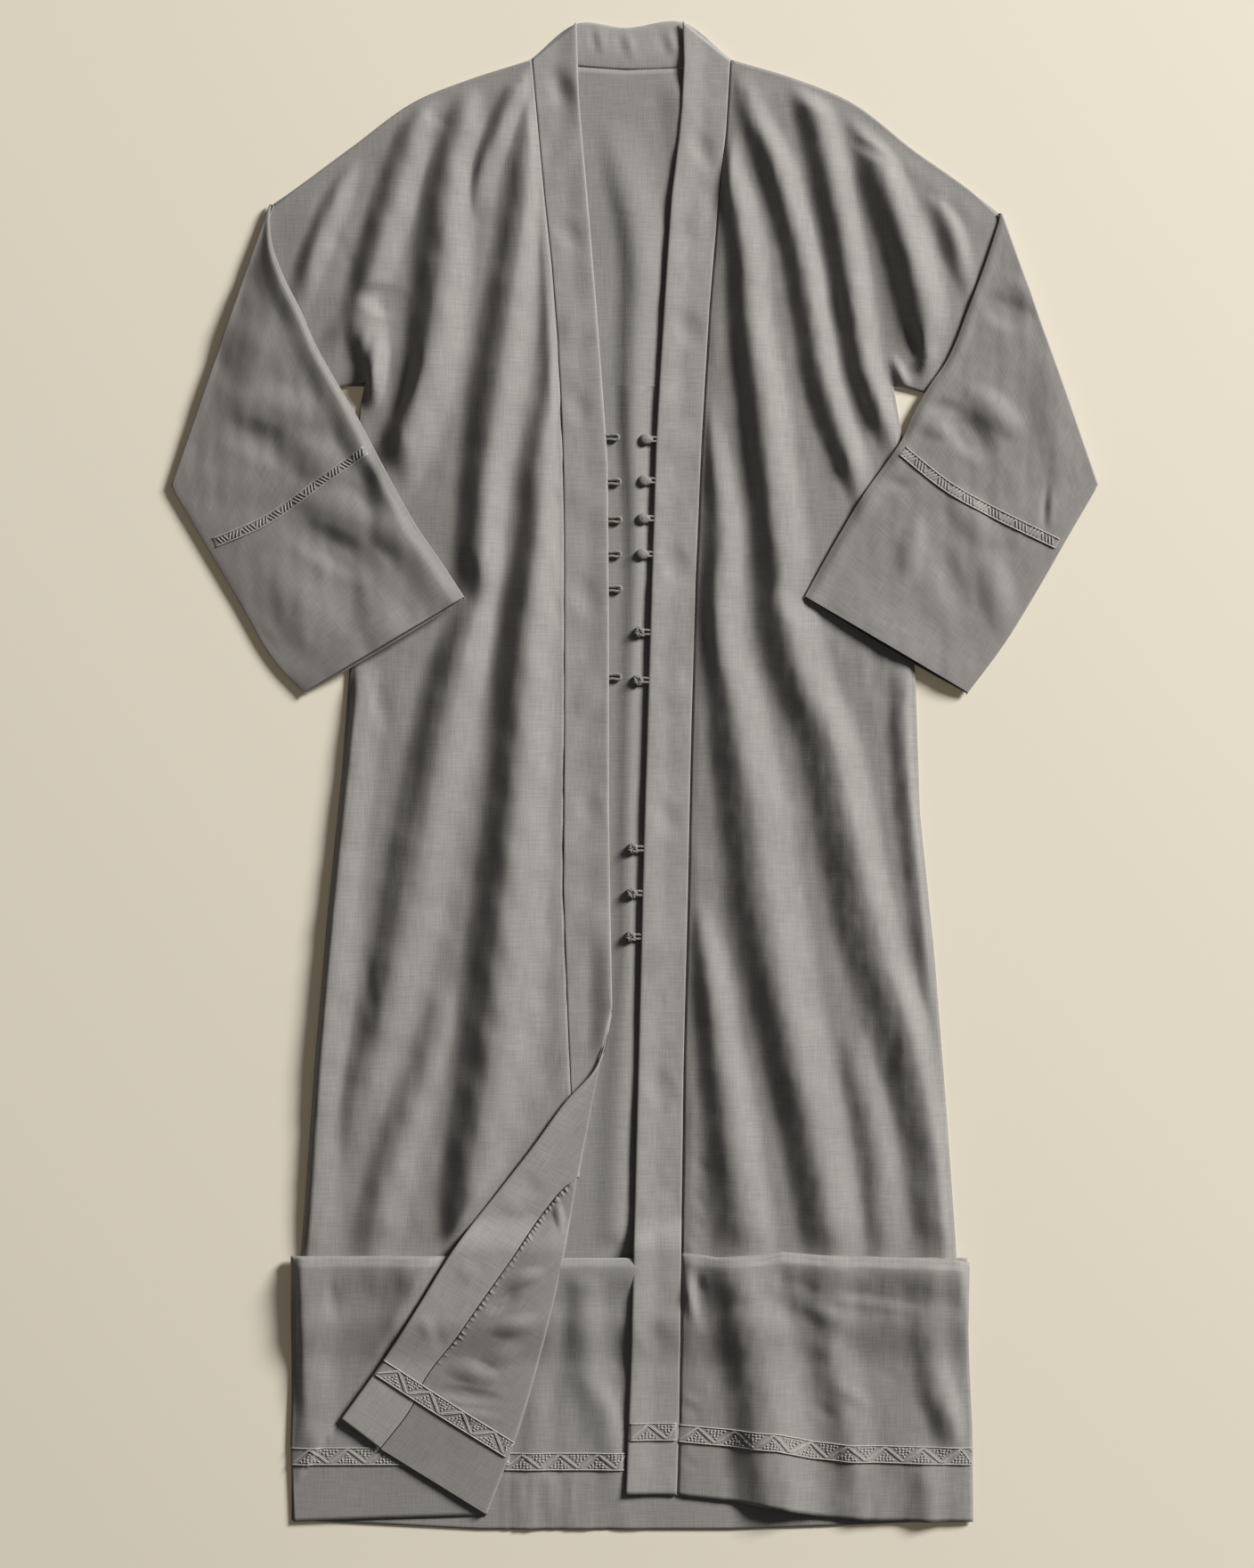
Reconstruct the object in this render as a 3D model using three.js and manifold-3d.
// An open-front abaya of plain grey linen, laid flat on its back.
// Units are millimetres: +X to the right as seen from above, +Y from hem to neck, +Z up from the
// surface that it lies on. The origin is at the middle of its flat box, on that surface.
//
// The cut: a back and two fronts with the upper sleeves cut on, forearms folded inwards at the
// elbow, a band round the neck and down both fronts, trims on cuffs and hem, a row of loops on one
// band and of covered buttons on the other. The skirt is folded up and down again across its width,
// and the left front's lower corner is turned back on itself.

import * as THREE from 'three';
import { mergeVertices } from 'three/addons/utils/BufferGeometryUtils.js';
import Module from 'manifold-3d';

const wasm = await Module();
wasm.setup();

// ---------------------------------------------------------------- driving dimensions

const CLOTH = 1.4;            // wall of one layer of linen, slack and air included
const GAP = 0.3;              // between neighbouring pieces
const PITCH = CLOTH + GAP;    // from one layer to the next
const BAND = 2.2;             // the band is the cloth doubled over
const TRIM = 1.0;             // embroidered tape

const FOLD_Y = -434;          // upper turn of the fold across the skirt
const FOLD_DEPTH = 45;        // how far its lower turn lies below the upper one
const HEM_Y = -677;           // lowest point of the back hem
const ROLL = 3;               // the elbow fold's roll stands this far outside the layers
const FOREARM_CLEAR = 27;     // the standing folds die out this far from a forearm
const FLAP_CLEAR = 16;        // and from the turned-back corner

const BUTTON_D = 10.6;
const BUTTON_H = 7.2;
const SHANK = { radius: 1.5, inButton: 2, height: 2.6 };
const LOOP_CORD = 2.8;
const LOOP_REACH = 11;
const LOOP_SPAN = 5;          // between the middles of a loop's two cords

const HEM_TRIM = 16;          // heights of the trims
const CUFF_TRIM = { left: 9, right: 10 };
const HEM_TRIM_TOP = { back: -608, band: -581 };

// underside of each layer, bottom to top
const LAYER = {
  backUpper: 0,
  frontUpper: PITCH,
  frontTurn: 2 * PITCH,
  backTurn: 3 * PITCH,
  backLower: 4 * PITCH,
  frontLower: 5 * PITCH,
};
// below the folded layers the skirt sinks back to the surface
const SINK = LAYER.backLower;
const SINK_FROM = FOLD_Y - FOLD_DEPTH - 6;
const SINK_LENGTH = 46;
const FLAP_ON_FRONT = LAYER.frontUpper + PITCH;
const TRIM_LIFT = 0.6;        // a trim clears the ridges that it crosses
const FOLD_END = 45;          // a standing fold fades out over this length at each of its ends
const FLAP_ON_LOWER = LAYER.frontLower + PITCH + TRIM_LIFT + TRIM + 2 * GAP;

// ---------------------------------------------------------------- outlines, [x, y]

const LEFT = {
  side: [
    [-238, 349], [-246, 318], [-252, 248], [-253, 136], [-263, 0], [-276, -128], [-287, -256], [-296, -384],
    [-300, FOLD_Y],
  ],
  lowerSide: [[-308, FOLD_Y], [-307, -540], [-309, -600], [-306, -670]],
  shoulder: [[-92, 642], [-154, 622], [-194, 606], [-250, 566], [-306, 525], [-328, 510]],
  elbow: [[-328, 510], [-372, 384], [-416, 258]],
  underarm: [[-416, 258], [-330, 304], [-266, 346], [-238, 349]],
  forearmTop: [[-327, 513], [-314, 448], [-266, 352], [-213, 256], [-173, 192], [-152, 160]],
  forearmUnder: [[-416, 258], [-396, 224], [-358, 160], [-319, 96], [-298, 74]],
  seam: [
    [-92, 642], [-86, 576], [-74, 456], [-66, 336], [-63, 216], [-63, 56], [-64, -104], [-60, -216],
    [-51, -361],
  ],
  bandEdge: [
    [-52, 675], [-50, 608], [-41, 504], [-32, 392], [-24, 280], [-23, 136], [-22, -104], [-20, -208],
  ],
  turnLine: [[-51, -361], [-65, -439], [-80, -503], [-103, -585], [-132, -662]],
  hem: [[-306, -670], [-226, -667], [-132, -664]],
  trimTop: [[-309, -603], [-107, -603]],
  sleeveTrim: [[-238, 291], [-279, 263], [-334, 226], [-380, 207]],
};

const RIGHT = {
  side: [
    [232, 350], [240, 306], [246, 216], [253, 64], [256, -32], [269, -160], [279, -288], [288, -416],
    [289, FOLD_Y],
  ],
  lowerSide: [[300, FOLD_Y], [299, -496], [303, -584], [304, -670]],
  shoulder: [[86, 642], [146, 624], [190, 606], [254, 558], [294, 530], [330, 502]],
  elbow: [[330, 502], [376, 377], [416, 259]],
  underarm: [[416, 259], [330, 302], [262, 342], [232, 350]],
  forearmTop: [[329, 505], [300, 422], [264, 350], [226, 282], [180, 211], [152, 161]],
  forearmUnder: [[416, 259], [388, 211], [364, 169], [330, 114], [300, 74]],
  seam: [[86, 642], [82, 576], [71, 464], [60, 296], [51, 40], [48, -104], [42, -424], [38, -646]],
  bandEdge: [
    [43, 676], [44, 640], [39, 568], [29, 464], [19, 296], [12, 72], [4, -224], [-4, -544], [-8, -645],
  ],
  hem: [[38, -646], [84, -651], [128, -657], [172, -666], [216, -669], [304, -670]],
  trimTop: [[38, -582], [84, -586], [128, -589], [160, -597], [193, -600], [304, -603]],
  sleeveTrim: [[238, 292], [287, 254], [318, 237], [382, 206]],
};

// the turned-back corner of the left front: the edge of its band, the band's seam and its hem
const TURNED = {
  bandEdge: [[-21.5, -213], [-33, -259], [-92, -334], [-164, -427], [-223, -521], [-263, -577]],
  bandBack: [[-19.6, -212], [-31, -259], [-51, -361]],
  seam: [[-51, -361], [-80, -390], [-112, -436], [-159, -503], [-198, -563], [-228, -604]],
  line: LEFT.turnLine,
  trim: [[-229, -530], [-191, -555], [-151, -580], [-111, -605]],
};

const NECK_SEAM = [[-92, 642], [-52, 636], [-8, 633], [45, 635], [86, 642]];
const NECK_TOP = [[-91, 644], [-50, 675], [-8, 671], [43, 676], [85, 644]];
const BACK_HEM = [
  [-304, -669], [-236, -672], [-140, HEM_Y], [84, HEM_Y], [172, -674], [237, -671], [300, -669],
];
const BACK_FOLD = { upper: [-300, 289], lower: [-308, 298] };   // ends of its rows, left and right

// ---------------------------------------------------------------- folds that stand up in the cloth
// crest: the ridge's line as [x, y] from top to bottom; half: half its width; height: at its middle

const LEFT_FOLDS = [
  { crest: [[-191, 600], [-204, 552], [-233, 456], [-262, 392]], half: 24, height: 7 },
  { crest: [[-150, 606], [-164, 530], [-178, 408], [-202, 312], [-232, 250]], half: 26, height: 9 },
  { crest: [[-98, 634], [-134, 552], [-146, 480]], half: 17, height: 5 },
  {
    crest: [
      [-96, 560], [-106, 456], [-126, 312], [-140, 168], [-173, 24], [-201, -120], [-238, -264],
      [-262, -350],
    ],
    half: 27,
    height: 10,
  },
  {
    crest: [
      [-80, 320], [-86, 216], [-96, 120], [-106, -24], [-120, -168], [-136, -312], [-150, -420],
    ],
    half: 20,
    height: 8,
  },
  { crest: [[-248, 90], [-260, -24], [-270, -168], [-280, -300]], half: 11, height: 4 },
  { crest: [[-172, -200], [-190, -264], [-220, -360], [-236, -420]], half: 16, height: 4 },
];

const RIGHT_FOLDS = [
  {
    crest: [
      [94, 560], [95, 480], [109, 360], [120, 264], [141, 120], [176, 24], [200, -72], [223, -168],
      [244, -230],
    ],
    half: 25,
    height: 10,
  },
  { crest: [[104, 606], [140, 504], [160, 408], [182, 312], [200, 250]], half: 22, height: 9 },
  { crest: [[146, 612], [173, 552], [192, 456], [208, 360], [226, 300]], half: 22, height: 9 },
  { crest: [[210, 570], [234, 504], [260, 408], [268, 350]], half: 22, height: 9 },
  {
    crest: [
      [78, 230], [75, 140], [86, 72], [103, -24], [116, -120], [135, -216], [156, -312],
      [178, -420],
    ],
    half: 22,
    height: 9,
  },
  { crest: [[64, -150], [79, -264], [92, -360], [102, -420]], half: 18, height: 7 },
  { crest: [[238, 90], [248, -24], [258, -130]], half: 12, height: 4 },
  { crest: [[196, -250], [212, -312], [226, -400]], half: 16, height: 4 },
  { crest: [[252, -220], [266, -312], [274, -400]], half: 14, height: 4 },
];

const LOWER_LEFT_FOLDS = [
  { crest: [[-282, -446], [-278, -520], [-276, -660]], half: 16, height: 3 },
  { crest: [[-200, -446], [-236, -560], [-216, -660]], half: 24, height: 3 },
];

const LOWER_RIGHT_FOLDS = [
  { crest: [[90, -444], [108, -520], [118, -600], [132, -664]], half: 28, height: 9 },
  { crest: [[172, -446], [176, -520], [200, -600], [190, -660]], half: 24, height: 4 },
  { crest: [[270, -446], [272, -540], [268, -660]], half: 20, height: 4 },
];

// small gathers below the trim of the back, and along the seam of the turned corner
const HEM_GATHERS = [-104, -92, -76, -56, -41];
const GATHER = { half: 4.2, height: 1.4, top: -628, fade: 30 };
const SEAM_GATHER = { count: 18, height: 1.5, reach: 16, end: 0.72 };

const FOREARM_DENTS = {
  left: [{ at: [-286, 250], size: [30, 60], depth: 1.6 }, { at: [-225, 190], size: [26, 26], depth: 1.2 }],
  right: [{ at: [285, 300], size: [30, 26], depth: 1.6 }, { at: [350, 250], size: [14, 44], depth: 1.2 }],
};

const BUTTON_Y = [301, 264, 230, 198, 128, 85, -66, -106, -145];
const BUTTON_OFFSET = 9.5;    // centre of a button inside the edge of the right band
const LOOP_Y = [303, 263, 229, 198, 167, 88];

// ---------------------------------------------------------------- small mathematics

const mix = (a, b, t) => a + (b - a) * t;
const clamp01 = (t) => Math.min(1, Math.max(0, t));
const smooth = (t) => { const c = clamp01(t); return c * c * (3 - 2 * c); };

// a smooth curve through a short table of points, walked by arc length from 0 to 1
function curve(table) {
  return new THREE.CatmullRomCurve3(table.map(([x, y]) => new THREE.Vector3(x, y, 0)), false, 'centripetal');
}

function walk(path, t) {
  const p = path.getPointAt(clamp01(t));
  return [p.x, p.y];
}

// x on a table whose y runs one way
function xAt(table, y) {
  for (let i = 1; i < table.length; i += 1) {
    const [x0, y0] = table[i - 1];
    const [x1, y1] = table[i];
    if ((y <= y0 && y >= y1) || (y >= y0 && y <= y1)) return mix(x0, x1, (y - y0) / (y1 - y0 || 1));
  }
  const nearFirst = Math.abs(y - table[0][1]) < Math.abs(y - table[table.length - 1][1]);
  return nearFirst ? table[0][0] : table[table.length - 1][0];
}

function yAt(table, x) {
  return xAt(table.map(([px, py]) => [py, px]), x);
}

const sink = (y) => SINK * smooth((SINK_FROM - y) / SINK_LENGTH);

// height of one standing fold at a point: a soft round ridge, faded out at both its ends
function foldHeight(fold, x, y) {
  const top = fold.crest[0][1];
  const bottom = fold.crest[fold.crest.length - 1][1];
  const along = smooth((top + FOLD_END - y) / FOLD_END) * smooth((y - bottom + FOLD_END) / FOLD_END);
  const across = Math.abs(x - xAt(fold.crest, y)) / fold.half;
  if (across >= 1 || along <= 0) return 0;
  return fold.height * along * 0.5 * (1 + Math.cos(Math.PI * across));
}

function foldsHeight(folds, x, y) {
  return folds.reduce((sum, fold) => Math.max(sum, foldHeight(fold, x, y)), 0);
}

// signed distance of a point to a polyline, positive on its left as it is walked
function sideOf(table, x, y) {
  let best = Infinity;
  let sign = 1;
  for (let i = 1; i < table.length; i += 1) {
    const [x0, y0] = table[i - 1];
    const [x1, y1] = table[i];
    const length2 = (x1 - x0) ** 2 + (y1 - y0) ** 2;
    const t = clamp01(((x - x0) * (x1 - x0) + (y - y0) * (y1 - y0)) / length2);
    const dx = x - mix(x0, x1, t);
    const dy = y - mix(y0, y1, t);
    const d = Math.hypot(dx, dy);
    if (d < best) {
      best = d;
      sign = (x1 - x0) * dy - (y1 - y0) * dx >= 0 ? 1 : -1;
    }
  }
  return sign * best;
}

// ---------------------------------------------------------------- solids

function geometry(positions, triangles) {
  const g = new THREE.BufferGeometry();
  g.setAttribute('position', new THREE.Float32BufferAttribute(positions.flat(), 3));
  g.setIndex(triangles.flat());
  return g;
}

// turns a closed body's faces outwards
function outward(positions, triangles) {
  let volume = 0;
  for (const [a, b, c] of triangles) {
    const [ax, ay, az] = positions[a];
    const [bx, by, bz] = positions[b];
    const [cx, cy, cz] = positions[c];
    volume += ax * (by * cz - bz * cy) + ay * (bz * cx - bx * cz) + az * (bx * cy - by * cx);
  }
  return volume < 0 ? triangles.map(([a, b, c]) => [a, c, b]) : triangles;
}

// A wall of cloth: grid[i][j] = { p: middle point, n: its direction of thickness }.
function wall(grid, thickness) {
  const rows = grid.length;
  const columns = grid[0].length;
  const positions = [];
  for (const side of [-0.5, 0.5]) {
    for (const row of grid) {
      for (const { p, n } of row) positions.push(p.map((value, k) => value + n[k] * side * thickness));
    }
  }
  const id = (side, i, j) => side * rows * columns + i * columns + j;
  const triangles = [];
  const quad = (a, b, c, d) => triangles.push([a, b, c], [a, c, d]);
  for (let i = 0; i + 1 < rows; i += 1) {
    for (let j = 0; j + 1 < columns; j += 1) {
      quad(id(0, i, j), id(0, i, j + 1), id(0, i + 1, j + 1), id(0, i + 1, j));
      quad(id(1, i, j), id(1, i + 1, j), id(1, i + 1, j + 1), id(1, i, j + 1));
    }
  }
  for (let j = 0; j + 1 < columns; j += 1) {
    quad(id(0, 0, j), id(1, 0, j), id(1, 0, j + 1), id(0, 0, j + 1));
    quad(id(0, rows - 1, j), id(0, rows - 1, j + 1), id(1, rows - 1, j + 1), id(1, rows - 1, j));
  }
  for (let i = 0; i + 1 < rows; i += 1) {
    quad(id(0, i, 0), id(0, i + 1, 0), id(1, i + 1, 0), id(1, i, 0));
    quad(id(0, i, columns - 1), id(1, i, columns - 1), id(1, i + 1, columns - 1), id(0, i + 1, columns - 1));
  }
  return geometry(positions, outward(positions, triangles));
}

// A tube of cloth open at both ends: rings[i][k] = { p, n } round each ring.
function tube(rings, thickness) {
  const count = rings[0].length;
  const rows = rings.length;
  const positions = [];
  for (const side of [-0.5, 0.5]) {
    for (const ring of rings) {
      for (const { p, n } of ring) positions.push(p.map((value, k) => value + n[k] * side * thickness));
    }
  }
  const id = (side, i, k) => side * rows * count + i * count + (k % count);
  const triangles = [];
  const quad = (a, b, c, d) => triangles.push([a, b, c], [a, c, d]);
  for (let k = 0; k < count; k += 1) {
    for (let i = 0; i + 1 < rows; i += 1) {
      quad(id(0, i, k), id(0, i, k + 1), id(0, i + 1, k + 1), id(0, i + 1, k));
      quad(id(1, i, k), id(1, i + 1, k), id(1, i + 1, k + 1), id(1, i, k + 1));
    }
    quad(id(0, 0, k), id(1, 0, k), id(1, 0, k + 1), id(0, 0, k + 1));
    quad(id(0, rows - 1, k), id(0, rows - 1, k + 1), id(1, rows - 1, k + 1), id(1, rows - 1, k));
  }
  return geometry(positions, outward(positions, triangles));
}

function solidOf(source) {
  const bare = source.clone();
  bare.deleteAttribute('normal');
  bare.deleteAttribute('uv');
  const merged = mergeVertices(bare, 1e-4);
  return new wasm.Manifold(new wasm.Mesh({
    numProp: 3,
    vertProperties: new Float32Array(merged.attributes.position.array),
    triVerts: new Uint32Array(merged.index.array),
  }));
}

function united(...pieces) {
  const whole = pieces.map(solidOf).reduce((sum, next) => sum.add(next));
  const mesh = whole.getMesh();
  const g = new THREE.BufferGeometry();
  g.setAttribute('position', new THREE.Float32BufferAttribute(mesh.vertProperties, 3));
  g.setIndex(new THREE.Uint32BufferAttribute(mesh.triVerts, 1));
  return g;
}

function flatPiece(outline, bottom, thickness) {
  const shape = new THREE.Shape(outline.map(([x, y]) => new THREE.Vector2(x, y)));
  const g = new THREE.ExtrudeGeometry(shape, { depth: thickness, bevelEnabled: false });
  return g.translate(0, 0, bottom);
}

// ---------------------------------------------------------------- the fold across the skirt

// Rows of a panel from above the fold, round its lower turn, back up and over, and down to the hem.
// Each row: y, z of the wall's middle, angle of its thickness direction, and the layer it is in.
function foldRows(lower, turn, upper, hemShares) {
  const rows = [];
  const lowTurnY = FOLD_Y - FOLD_DEPTH;
  const middle = (layer) => layer + CLOTH / 2;
  const arc = (yCentre, zFrom, zTo, outside) => {
    const radius = (zTo - zFrom) / 2;
    for (const part of [0.25, 0.5, 0.75]) {
      const angle = outside ? Math.PI * (1 - part) : Math.PI * part;
      const sign = outside ? 1 : -1;
      rows.push({
        y: yCentre + sign * radius * Math.sin(angle),
        z: zFrom + radius + sign * radius * Math.cos(angle),
        angle,
        layer: 'turn',
      });
    }
  };
  rows.push({ y: lowTurnY, z: middle(lower), angle: 0, layer: 'upper' });
  arc(lowTurnY, middle(lower), middle(turn), false);
  rows.push({ y: lowTurnY, z: middle(turn), angle: Math.PI, layer: 'turn' });
  rows.push({ y: FOLD_Y, z: middle(turn), angle: Math.PI, layer: 'turn' });
  arc(FOLD_Y, middle(turn), middle(upper), true);
  rows.push({ y: FOLD_Y, z: middle(upper), angle: 0, layer: 'lower' });
  for (const share of hemShares) rows.push({ share, z: middle(upper), angle: 0, layer: 'lower' });
  return rows;
}

// ---------------------------------------------------------------- heights of the fronts

// lengths over which the standing folds fade out towards each edge of a front
const FADE = { forearm: 26, seam: 12, shoulder: 30, side: 8, skirtFold: 40, lowerEdge: 30, flap: 24 };
const ABOVE_SKIRT_FOLD = 12;  // they end this far above the skirt's fold

const inwards = (side) => (side === LEFT ? 1 : -1);

function seamFade(side, table, x, y) {
  return smooth((inwards(side) * (xAt(table, y) - x) + 2) / FADE.seam);
}

function flapFade(side, x, y) {
  return side === LEFT ? smooth((-sideOf(TURNED.bandEdge, x, y) - FLAP_CLEAR) / FADE.flap) : 1;
}

function frontHeight(side, folds) {
  const forearmEdge = [...side.forearmTop, side.forearmUnder[side.forearmUnder.length - 1]];
  return (x, y) => {
    const fromForearm = inwards(side) * sideOf(forearmEdge, x, y) - FOREARM_CLEAR;
    const fromSide = inwards(side) * (x - xAt(side.side, Math.min(y, side.side[0][1])));
    const fromShoulder = yAt(side.shoulder, x) - y;
    const fade = seamFade(side, side.seam, x, y) * flapFade(side, x, y)
      * smooth(fromForearm / FADE.forearm) * smooth(fromShoulder / FADE.shoulder)
      * smooth((y - FOLD_Y - ABOVE_SKIRT_FOLD) / FADE.skirtFold)
      * (y < side.side[0][1] ? smooth(fromSide / FADE.side) : 1);
    return fade <= 0 ? 0 : fade * foldsHeight(folds, x, y);
  };
}

function lowerHeight(side, folds, edgeTable) {
  return (x, y) => {
    const fromSide = inwards(side) * (x - xAt(side.lowerSide, y));
    const fade = seamFade(side, edgeTable, x, y) * flapFade(side, x, y)
      * smooth(fromSide / FADE.side) * smooth((FOLD_Y - y) / FADE.lowerEdge);
    return fade <= 0 ? 0 : fade * foldsHeight(folds, x, y);
  };
}

// ---------------------------------------------------------------- fronts

const FRONT_COLUMNS = 17;
const SLEEVE_ROWS = 7;
const BODY_ROWS = 18;
const LOWER_SHARES = [0.11, 0.21, 0.26, 0.32, 0.38, 0.44, 0.58, 0.72, 0.86, 1];

// direction square to the elbow's fold, away from the body
function elbowOut(side) {
  const [x0, y0] = side.elbow[0];
  const [x1, y1] = side.elbow[side.elbow.length - 1];
  const length = Math.hypot(x1 - x0, y1 - y0);
  return [-inwards(side) * Math.abs(y1 - y0) / length, Math.abs(x1 - x0) / length];
}

// the layers of the upper sleeve end just inside the roll of the elbow, moved a little up the
// sleeve too, clear of the roll's lower corner
function elbowRow(side) {
  const [dx, dy] = elbowOut(side);
  const moveIn = ([x, y]) => [x - dx * ROLL, y + dy * ROLL];
  const outer = moveIn(side.underarm[0]);
  const corner = moveIn(side.shoulder[side.shoulder.length - 1]);
  return { outer, inner: [0, 1].map((k) => mix(corner[k], outer[k], 0.02)) };
}

// rows of a front above the skirt's fold, from the elbow round the armpit and down the side;
// each has its outer and its inner end
function upperRows(side, innerLow) {
  const underarm = curve(side.underarm);
  const shoulder = curve(side.shoulder);
  const rows = [];
  for (let i = 0; i <= SLEEVE_ROWS; i += 1) {
    const t = i / SLEEVE_ROWS;
    const outer = walk(underarm, t);
    const inner = walk(shoulder, 1 - t);
    rows.push(i === 0 ? elbowRow(side) : { outer, inner });
  }
  const armpitY = side.side[0][1];
  const neckY = side.seam[0][1];
  for (let i = 1; i <= BODY_ROWS; i += 1) {
    const t = i / BODY_ROWS;
    const outerY = mix(armpitY, FOLD_Y, t);
    const innerY = mix(neckY, FOLD_Y, t);
    rows.push({ outer: [xAt(side.side, outerY), outerY], inner: [xAt(innerLow, innerY), innerY] });
  }
  return rows;
}

function frontPanel(side, folds, lowerFolds, innerTable) {
  const heightUpper = frontHeight(side, folds);
  const lowerFold = lowerHeight(side, lowerFolds, innerTable);
  const heightLower = (x, y) => lowerFold(x, y) - sink(y);
  const inset = side === LEFT ? -GAP : GAP;
  const place = (outer, inner, z, angle, height) => {
    const row = [];
    for (let j = 0; j < FRONT_COLUMNS; j += 1) {
      const t = j / (FRONT_COLUMNS - 1);
      const x = mix(outer[0], inner[0] + inset, t);
      const y = mix(outer[1], inner[1], t);
      row.push({
        p: [x, y, z + height(x, y)],
        n: [0, Math.sin(angle), Math.cos(angle)],
      });
    }
    return row;
  };
  const flat = () => 0;
  const z = LAYER.frontUpper + CLOTH / 2;
  const grid = upperRows(side, innerTable).map(({ outer, inner }) => place(outer, inner, z, 0, heightUpper));
  for (const row of foldRows(LAYER.frontUpper, LAYER.frontTurn, LAYER.frontLower, LOWER_SHARES)) {
    if (row.share === undefined) {
      const [edgeX] = row.layer === 'upper' ? side.side[side.side.length - 1] : side.lowerSide[0];
      const outer = [edgeX, row.y];
      const inner = [xAt(innerTable, row.layer === 'lower' ? FOLD_Y : row.y), row.y];
      grid.push(place(outer, inner, row.z, row.angle, flat));
    } else {
      const hemOuter = side.hem[side === LEFT ? 0 : side.hem.length - 1];
      const hemInner = side.hem[side === LEFT ? side.hem.length - 1 : 0];
      const outerY = mix(FOLD_Y, hemOuter[1], row.share);
      const innerY = mix(FOLD_Y, hemInner[1], row.share);
      const last = row.share === 1;
      const outer = [xAt(side.lowerSide, outerY), outerY];
      const inner = [xAt(innerTable, innerY), innerY];
      const points = place(outer, inner, row.z, 0, heightLower);
      grid.push(last ? points.map((point) => followHem(side, point, heightLower, row.z)) : points);
    }
  }
  return grid;
}

function followHem(side, point, height, z) {
  const [x] = point.p;
  const y = yAt(side.hem, x);
  return { p: [x, y, z + height(x, y)], n: point.n };
}

// ---------------------------------------------------------------- back

const BACK_HEM_SHARES = [0.2, 0.26, 0.32, 0.38, 0.43, 0.79, 0.9, 1];
const BACK_STATIONS = [
  { from: -308, to: -182, step: 42 },
  { from: -140, to: -32, step: 5.2 },
  { from: 0, to: 300, step: 60 },
];

function back() {
  const half = (side) => ({
    side: side.side.slice(),
    underarm: side.underarm.slice(1, -1),
    elbow: [elbowRow(side).outer, elbowRow(side).inner],
    shoulder: curve(side.shoulder).getPoints(8).slice(0, -1).map(({ x, y }) => [x, y]),
  });
  const left = half(LEFT);
  const right = half(RIGHT);
  const outline = [
    ...NECK_SEAM,
    ...right.shoulder.slice(1),
    right.elbow[1],
    right.elbow[0],
    ...right.underarm,
    ...right.side,
    ...left.side.reverse(),
    ...left.underarm.reverse(),
    left.elbow[0],
    left.elbow[1],
    ...left.shoulder.slice(1).reverse(),
  ];
  const plate = flatPiece(outline, LAYER.backUpper, CLOTH);

  // the skirt's lower part, from a little above its fold to the hem; it has narrow columns where
  // it is gathered
  const stations = BACK_STATIONS.flatMap(({ from, to, step }) => {
    const some = [];
    for (let x = from; x <= to; x += step) some.push(x);
    return some;
  });
  const first = stations[0];
  const last = stations[stations.length - 1];
  const shares = stations.map((x) => (x - first) / (last - first));
  const gathers = (x, y) => {
    const fade = smooth((GATHER.top - y) / GATHER.fade);
    return -sink(y) + fade * HEM_GATHERS.reduce((sum, centre) => {
      const across = Math.abs(x - centre) / GATHER.half;
      return across < 1 ? sum + GATHER.height * 0.5 * (1 + Math.cos(Math.PI * across)) : sum;
    }, 0);
  };
  const grid = [];
  const place = (x0, x1, yOf, z, angle, height) => shares.map((t) => {
    const x = mix(x0, x1, t);
    const y = yOf(x);
    return { p: [x, y, z + height(x, y)], n: [0, Math.sin(angle), Math.cos(angle)] };
  });
  const flat = () => 0;
  grid.push(place(...BACK_FOLD.upper, () => FOLD_Y, CLOTH / 2, 0, flat));
  for (const row of foldRows(LAYER.backUpper, LAYER.backTurn, LAYER.backLower, BACK_HEM_SHARES)) {
    const [x0, x1] = row.layer === 'upper' ? BACK_FOLD.upper : BACK_FOLD.lower;
    const yOf = row.share === undefined ? () => row.y : (x) => mix(FOLD_Y, yAt(BACK_HEM, x), row.share);
    grid.push(place(x0, x1, yOf, row.z, row.angle, row.share === undefined ? flat : gathers));
  }
  return united(plate, wall(grid, CLOTH));
}

// ---------------------------------------------------------------- forearms, folded inwards

const FOREARM_ROWS = 9;
const FOREARM_COLUMNS = 9;
const FOREARM_SLACK = 2.6;    // most air between the two layers of a forearm
const FOREARM_Z = LAYER.frontUpper + PITCH;

function forearmEnds(side, u) {
  return [walk(curve(side.forearmTop), u), walk(curve(side.forearmUnder), u)];
}

// height of the forearm's upper layer above its lower one
function forearmAir(dents, x, y, v) {
  const round = Math.sin(Math.PI * v) ** 0.6;
  const pressed = dents.reduce((sum, { at, size, depth }) => {
    const d = Math.hypot((x - at[0]) / size[0], (y - at[1]) / size[1]);
    return d < 1 ? sum + depth * 0.5 * (1 + Math.cos(Math.PI * d)) : sum;
  }, 0);
  return Math.max(0, FOREARM_SLACK * round - pressed * round);
}

const EDGE_RADIUS = PITCH / 2;
const forearmTopMiddle = (air) => FOREARM_Z + CLOTH / 2 + PITCH + air;

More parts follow.
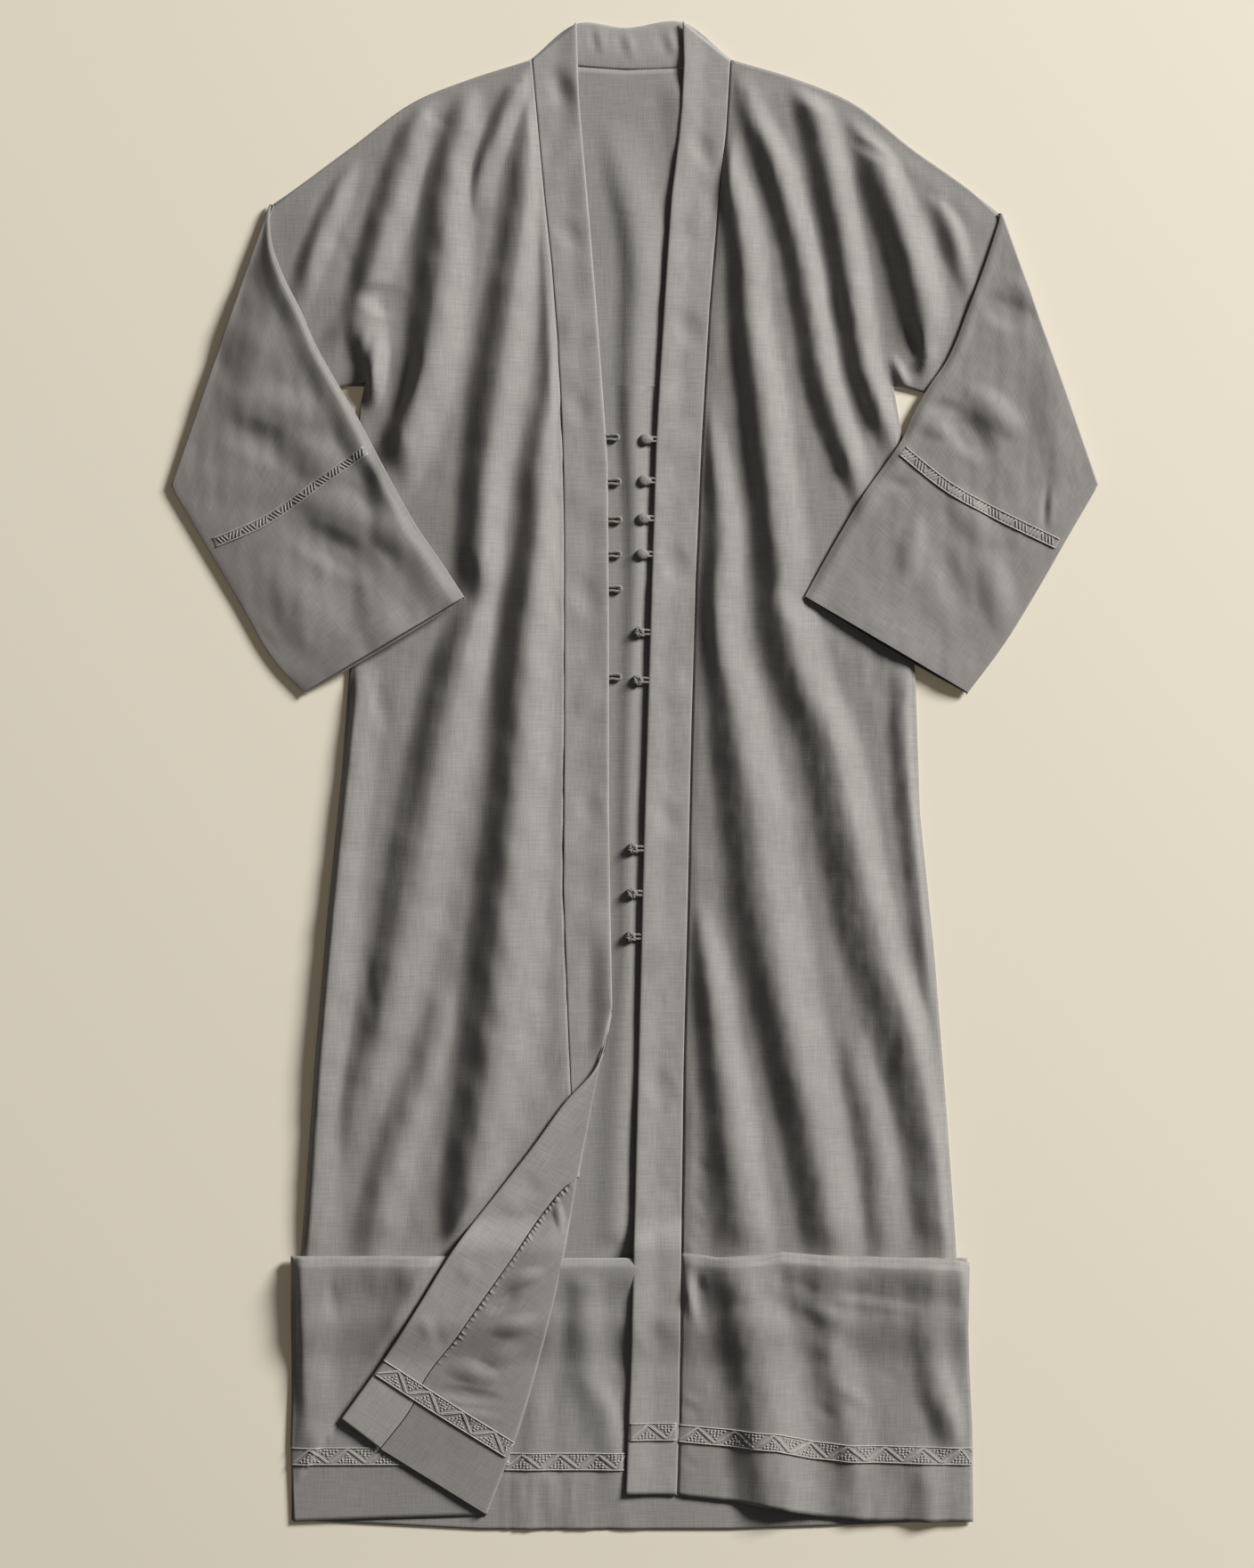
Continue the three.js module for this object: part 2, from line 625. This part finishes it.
function forearm(side, dents) {
  const rings = [];
  for (let i = 0; i <= FOREARM_ROWS; i += 1) {
    // rows are closer together near the elbow
    const [[xa, ya], [xb, yb]] = forearmEnds(side, (i / FOREARM_ROWS) ** 1.25);
    const width = Math.hypot(xb - xa, yb - ya);
    const inset = EDGE_RADIUS + CLOTH / 2;
    const ring = [];
    const across = (v) => {
      const w = (inset + v * (width - 2 * inset)) / width;
      return [mix(xa, xb, w), mix(ya, yb, w), (xb - xa) / width, (yb - ya) / width];
    };
    // the lower layer, from the top edge to the underarm edge
    for (let j = 0; j <= FOREARM_COLUMNS; j += 1) {
      const [x, y] = across(j / FOREARM_COLUMNS);
      ring.push({ p: [x, y, FOREARM_Z + CLOTH / 2], n: [0, 0, -1] });
    }
    for (const angle of [-45, 0, 45]) ring.push(edgePoint(across(1), 1, angle));
    for (let j = FOREARM_COLUMNS; j >= 0; j -= 1) {
      const v = j / FOREARM_COLUMNS;
      const [x, y] = across(v);
      ring.push({ p: [x, y, forearmTopMiddle(forearmAir(dents, x, y, v))], n: [0, 0, 1] });
    }
    for (const angle of [45, 0, -45]) ring.push(edgePoint(across(0), -1, angle));
    rings.push(ring);
  }
  return tube([...elbowRoll(side, rings[0]), ...rings.slice(1)], CLOTH);
}

function edgePoint([x, y, dx, dy], sign, degrees) {
  const angle = degrees * Math.PI / 180;
  const out = Math.cos(angle) * sign;
  const n = [out * dx, out * dy, Math.sin(angle)];
  const middle = [x, y, FOREARM_Z + CLOTH / 2 + EDGE_RADIUS];
  return { p: middle.map((value, axis) => value + n[axis] * EDGE_RADIUS), n };
}

// steps of the roll at the elbow, from the surface up: how far each row lies outside the elbow's
// line in the upper layer (out) and inside it in the lower one (low), its drop below the upper
// layer, and the tilt of the cloth there in degrees
const ELBOW_STEPS = [
  { out: -0.7, low: 5, drop: forearmTopMiddle(0) - 1.0, tilt: 90 },
  { out: -0.9, low: 4.2, drop: forearmTopMiddle(0) - 3.4, tilt: 65 },
  { out: -2.0, low: 3.4, drop: 0.45, tilt: 35 },
];

// at the elbow the upper layer rolls over the edge of the sleeve below it, down to the surface
function elbowRoll(side, ring) {
  const [dx, dy] = elbowOut(side);
  return ELBOW_STEPS.map(({ out, low, drop, tilt }) => ring.map(({ p, n }) => {
    const upper = clamp01((p[2] - FOREARM_Z - CLOTH / 2) / PITCH);
    const move = mix(-low, out, upper);
    const a = tilt * Math.PI / 180 * upper;
    const lean = Math.sin(a) * upper;
    return {
      p: [p[0] + dx * move, p[1] + dy * move, p[2] - drop * upper],
      n: [n[0] * (1 - upper) + dx * lean, n[1] * (1 - upper) + dy * lean, mix(n[2], Math.cos(a), upper)],
    };
  }));
}

// ---------------------------------------------------------------- bands

function overSkirtFold(y, above, below) {
  return mix(above, below, smooth((FOLD_Y + 40 - y) / 34));
}

const BAND_LIFT = 1.6;        // the bands' free edges stand up a little
const BAND_COLUMNS = 3;
const bandLift = (t) => BAND_LIFT * smooth((t - 0.5) / 0.5);

// heights above the skirt's fold at which a band that climbs over it has rows of its own
const CLIMB = [44, 36, 30, 24, 18, 12, 5, -48, -58, -68, -78, -88, -100];

// shares of a band's length at which it has a row
function bandShares(topY, bottomY, even, climb) {
  const shares = climb.map((above) => (topY - FOLD_Y - above) / (topY - bottomY));
  for (let i = 0; i <= even; i += 1) shares.push(i / even);
  return shares.sort((a, b) => a - b);
}

function frontBand(side, edge, even, climb, zOf) {
  const { seam } = side;
  const [seamTop, seamEnd] = [seam[0][1], seam[seam.length - 1][1]];
  const [edgeTop, edgeEnd] = [edge[0][1], edge[edge.length - 1][1]];
  const grid = bandShares(seamTop, seamEnd, even, climb).map((share) => {
    const ya = mix(seamTop, seamEnd, share);
    const yb = mix(edgeTop, edgeEnd, share);
    const xa = xAt(seam, ya) + inwards(side) * GAP;
    const xb = xAt(edge, yb);
    const row = [];
    for (let j = 0; j <= BAND_COLUMNS; j += 1) {
      const t = j / BAND_COLUMNS;
      const y = mix(ya, yb, t);
      row.push({ p: [mix(xa, xb, t), y, zOf(y, t) + BAND / 2], n: [0, 0, 1] });
    }
    return row;
  });
  return wall(grid, BAND);
}

function bandRightLevel(y, t) {
  return overSkirtFold(y, LAYER.frontUpper, LAYER.frontLower) - sink(y) + bandLift(t);
}

function bandRight() {
  return frontBand(RIGHT, RIGHT.bandEdge, 24, CLIMB, bandRightLevel);
}

// below the corner's first turn the left band ends in a point under it
function bandLeft() {
  const edge = [...LEFT.bandEdge, [-34, -270], [-50.2, -360]];
  const turnY = -200;
  return frontBand(LEFT, edge, 26, [], (y, t) => LAYER.frontUpper + bandLift(t) * smooth((y - turnY) / 60));
}

function bandNeckBack() {
  const seam = NECK_SEAM.map(([x, y]) => [x, y + GAP]);
  return flatPiece([...seam.reverse(), ...NECK_TOP], LAYER.backUpper, CLOTH);
}

// ---------------------------------------------------------------- the turned-back corner

function flapLevel(y) {
  return overSkirtFold(y, FLAP_ON_FRONT + BAND - CLOTH, FLAP_ON_LOWER) - sink(y);
}

const TURNED_BAND_ROWS = 22;
const TURNED_ROWS = 44;
const TURNED_SHARES = [0, 0.12, 0.3, 0.62, 1];
const TURNED_SWELL = 2.4;     // slack of the turned cloth, at its middle
const TURN = { inset: 3, out: 1.2, reach: 1.9 };   // of the roll over the corner's fold line

function turnedBand() {
  const seam = curve(TURNED.seam).getPoints(12).map(({ x, y }) => [x - GAP, y + GAP]);
  const edge = curve(TURNED.bandEdge);
  const rim = curve([...TURNED.bandBack.slice(0, -1), ...seam]);
  const grid = [];
  for (let i = 0; i <= TURNED_BAND_ROWS; i += 1) {
    const a = walk(edge, i / TURNED_BAND_ROWS);
    const b = walk(rim, i / TURNED_BAND_ROWS);
    const row = [];
    for (let j = 0; j <= BAND_COLUMNS; j += 1) {
      const y = mix(a[1], b[1], j / BAND_COLUMNS);
      row.push({ p: [mix(a[0], b[0], j / BAND_COLUMNS), y, flapLevel(y) + BAND / 2], n: [0, 0, 1] });
    }
    grid.push(row);
  }
  return wall(grid, BAND);
}

function turnedFront() {
  const seam = curve(TURNED.seam);
  const line = curve(TURNED.line);
  const grid = [];
  for (let i = 0; i <= TURNED_ROWS; i += 1) {
    const t = i / TURNED_ROWS;
    const a = walk(seam, mix(0.03, 1, t));
    const b = walk(line, mix(0.05, 1, t));
    const width = Math.hypot(b[0] - a[0], b[1] - a[1]);
    const wave = 0.5 * (1 - Math.cos(2 * Math.PI * t * SEAM_GATHER.count));
    const strength = wave * smooth(t / 0.08) * smooth((SEAM_GATHER.end - t) / 0.1);
    const row = TURNED_SHARES.map((share) => {
      const x = mix(a[0] + GAP, b[0] - TURN.inset, share);
      const y = mix(a[1] - GAP, b[1], share);
      const gather = SEAM_GATHER.height * strength * (1 - smooth(share * width / SEAM_GATHER.reach));
      const swell = TURNED_SWELL * Math.sin(Math.PI * share) * Math.sin(Math.PI * t);
      return { p: [x, y, flapLevel(y) + CLOTH / 2 + gather + swell], n: [0, 0, 1] };
    });
    grid.push([...row, ...turnRoll(b)]);
  }
  return wall(grid, CLOTH);
}

// the fold line of the corner: the cloth rolls over it down to the layer below
function turnRoll([x, y]) {
  const top = flapLevel(y) + CLOTH / 2;
  const bottom = overSkirtFold(y, LAYER.frontUpper, LAYER.frontLower) - sink(y) + CLOTH / 2;
  const radius = (top - bottom) / 2;
  return [0, 45, 90].map((degrees) => {
    const angle = degrees * Math.PI / 180;
    const reach = Math.min(radius, TURN.reach) * Math.sin(angle);
    return {
      p: [x - TURN.inset + TURN.out + reach, y, bottom + radius + Math.cos(angle) * radius],
      n: [Math.sin(angle), 0, Math.cos(angle)],
    };
  });
}

// ---------------------------------------------------------------- trims

// a tape laid on the lower part of a front: made from the front's own points, moved up
function trimOnLower(grid, yTable, toColumn) {
  const lowerRows = grid.slice(-LOWER_SHARES.length - 1);
  const onColumn = (j, y) => {
    for (let i = 1; i < lowerRows.length; i += 1) {
      const above = lowerRows[i - 1][j].p;
      const below = lowerRows[i][j].p;
      if (y <= above[1] && y >= below[1]) {
        const t = (y - above[1]) / (below[1] - above[1]);
        return above.map((value, k) => mix(value, below[k], t));
      }
    }
    return lowerRows[lowerRows.length - 1][j].p;
  };
  const tape = [];
  for (let j = 0; j <= toColumn; j += 1) {
    const top = yAt(yTable, lowerRows[LOWER_SHARES.length - 1][j].p[0]);
    tape.push([top, top - HEM_TRIM].map((y) => {
      const [px, py, pz] = onColumn(j, y);
      return { p: [px, py, pz + CLOTH / 2 + GAP + TRIM_LIFT + TRIM / 2], n: [0, 0, 1] };
    }));
  }
  return wall(tape, TRIM);
}

// the same tape where it crosses the right band
function trimHemBand() {
  const tape = [];
  for (let j = 0; j <= BAND_COLUMNS; j += 1) {
    const t = j / BAND_COLUMNS;
    tape.push([HEM_TRIM_TOP.band, HEM_TRIM_TOP.band - HEM_TRIM].map((y) => {
      const x = mix(xAt(RIGHT.seam, y) - 2 * GAP, xAt(RIGHT.bandEdge, y) + GAP, t);
      return { p: [x, y, bandRightLevel(y, t) + BAND + GAP + TRIM / 2], n: [0, 0, 1] };
    }));
  }
  return wall(tape, TRIM);
}

function trimHemBack() {
  const top = HEM_TRIM_TOP.back;
  const bottom = top - HEM_TRIM;
  return flatPiece([[-106, top], [-7.5, top], [-8.5, bottom], [-112, bottom]], PITCH, TRIM);
}

const TURNED_TRIM_LIFT = 1.4;  // over the slack of the turned cloth

function trimTurned() {
  const line = curve(TURNED.trim);
  const grid = [];
  for (let i = 0; i <= 14; i += 1) {
    const [x, y] = walk(line, i / 14);
    const tangent = line.getTangentAt(i / 14);
    grid.push([-1, 1].map((s) => {
      const px = x - tangent.y * s * HEM_TRIM / 2;
      const py = y + tangent.x * s * HEM_TRIM / 2;
      return { p: [px, py, flapLevel(py) + BAND + GAP + TRIM / 2 + TURNED_TRIM_LIFT], n: [0, 0, 1] };
    }));
  }
  return wall(grid, TRIM);
}

function trimSleeve(side, height) {
  const line = curve(side.sleeveTrim);
  const grid = [];
  const steps = 18;
  for (let i = 0; i <= steps; i += 1) {
    const t = mix(0.025, 0.975, i / steps);
    const [x, y] = walk(line, t);
    const tangent = line.getTangentAt(t);
    grid.push([-1, 1].map((s) => {
      const px = x - tangent.y * s * height / 2;
      const py = y + tangent.x * s * height / 2;
      return { p: [px, py, forearmTopMiddle(FOREARM_SLACK) + CLOTH / 2 + GAP + TRIM / 2], n: [0, 0, 1] };
    }));
  }
  return wall(grid, TRIM);
}

// ---------------------------------------------------------------- buttons and loops

function button(y) {
  const edge = xAt(RIGHT.bandEdge, y);
  const x = edge - BUTTON_OFFSET;
  const r = BUTTON_D / 2;
  const profile = [];
  for (let i = 0; i <= 5; i += 1) {
    const a = -Math.PI / 2 + Math.PI * i / 5;
    profile.push(new THREE.Vector2(Math.max(0, Math.cos(a) * r), Math.sin(a) * BUTTON_H / 2));
  }
  profile[0].x = 0;
  profile[5].x = 0;
  const z = LAYER.frontUpper + BUTTON_H / 2;
  const ball = new THREE.LatheGeometry(profile, 10).rotateX(Math.PI / 2).translate(x, y, z);
  const length = BUTTON_OFFSET - 2 * GAP - SHANK.inButton;
  const shank = new THREE.CylinderGeometry(SHANK.radius, SHANK.radius, length, 6).rotateZ(Math.PI / 2)
    .translate(x + SHANK.inButton + length / 2, y, LAYER.frontUpper + SHANK.height);
  return united(ball, shank);
}

function loop(y) {
  const edge = xAt(LEFT.bandEdge, y);
  const z = LAYER.frontUpper + LOOP_CORD / 2;
  const half = LOOP_SPAN / 2;
  const points = [
    [edge + 0.5, half * 0.7], [edge + LOOP_REACH * 0.45, half], [edge + LOOP_REACH * 0.85, half * 0.8],
    [edge + LOOP_REACH, 0],
    [edge + LOOP_REACH * 0.85, -half * 0.8], [edge + LOOP_REACH * 0.45, -half], [edge + 0.5, -half * 0.7],
  ].map(([px, dy]) => new THREE.Vector3(px, y + dy, z));
  const path = new THREE.CatmullRomCurve3(points, false, 'centripetal');
  const section = new THREE.Shape();
  for (let i = 0; i < 5; i += 1) {
    const a = 2 * Math.PI * i / 5;
    section[i ? 'lineTo' : 'moveTo'](Math.cos(a) * LOOP_CORD / 2, Math.sin(a) * LOOP_CORD / 2);
  }
  return new THREE.ExtrudeGeometry(section, { steps: 9, extrudePath: path, curveSegments: 1 });
}

// ---------------------------------------------------------------- the garment

const linen = new THREE.Color('#8b8784');
const linenBand = new THREE.Color('#8f8c88');
const trimColour = new THREE.Color('#84817c');
const cordColour = new THREE.Color('#7f7b76');

const group = new THREE.Group();

function add(name, geometrySource, colour) {
  const material = new THREE.MeshStandardMaterial({ color: colour, roughness: 0.9, metalness: 0 });
  const mesh = new THREE.Mesh(geometrySource, material);
  mesh.name = name;
  group.add(mesh);
}

const leftInner = [...LEFT.seam, ...LEFT.turnLine.slice(1)];
const frontLeft = frontPanel(LEFT, LEFT_FOLDS, LOWER_LEFT_FOLDS, leftInner);
const frontRight = frontPanel(RIGHT, RIGHT_FOLDS, LOWER_RIGHT_FOLDS, RIGHT.seam);

add('back', back(), linen);
add('front_left', wall(frontLeft, CLOTH), linen);
add('front_right', wall(frontRight, CLOTH), linen);
add('sleeve_left', forearm(LEFT, FOREARM_DENTS.left), linen);
add('sleeve_right', forearm(RIGHT, FOREARM_DENTS.right), linen);
add('band_left', bandLeft(), linenBand);
add('band_right', bandRight(), linenBand);
add('band_neck_back', bandNeckBack(), linenBand);
add('front_left_turned', turnedFront(), linen);
add('band_left_turned', turnedBand(), linenBand);
add('trim_hem_left', trimOnLower(frontLeft, LEFT.trimTop, FRONT_COLUMNS - 2), trimColour);
add('trim_hem_right', trimOnLower(frontRight, RIGHT.trimTop, FRONT_COLUMNS - 1), trimColour);
add('trim_hem_band', trimHemBand(), trimColour);
add('trim_hem_back', trimHemBack(), trimColour);
add('trim_turned', trimTurned(), trimColour);
add('trim_sleeve_left', trimSleeve(LEFT, CUFF_TRIM.left), trimColour);
add('trim_sleeve_right', trimSleeve(RIGHT, CUFF_TRIM.right), trimColour);
BUTTON_Y.forEach((y, i) => add(`button_${i + 1}`, button(y), cordColour));
LOOP_Y.forEach((y, i) => add(`loop_${i + 1}`, loop(y), cordColour));

export default group;
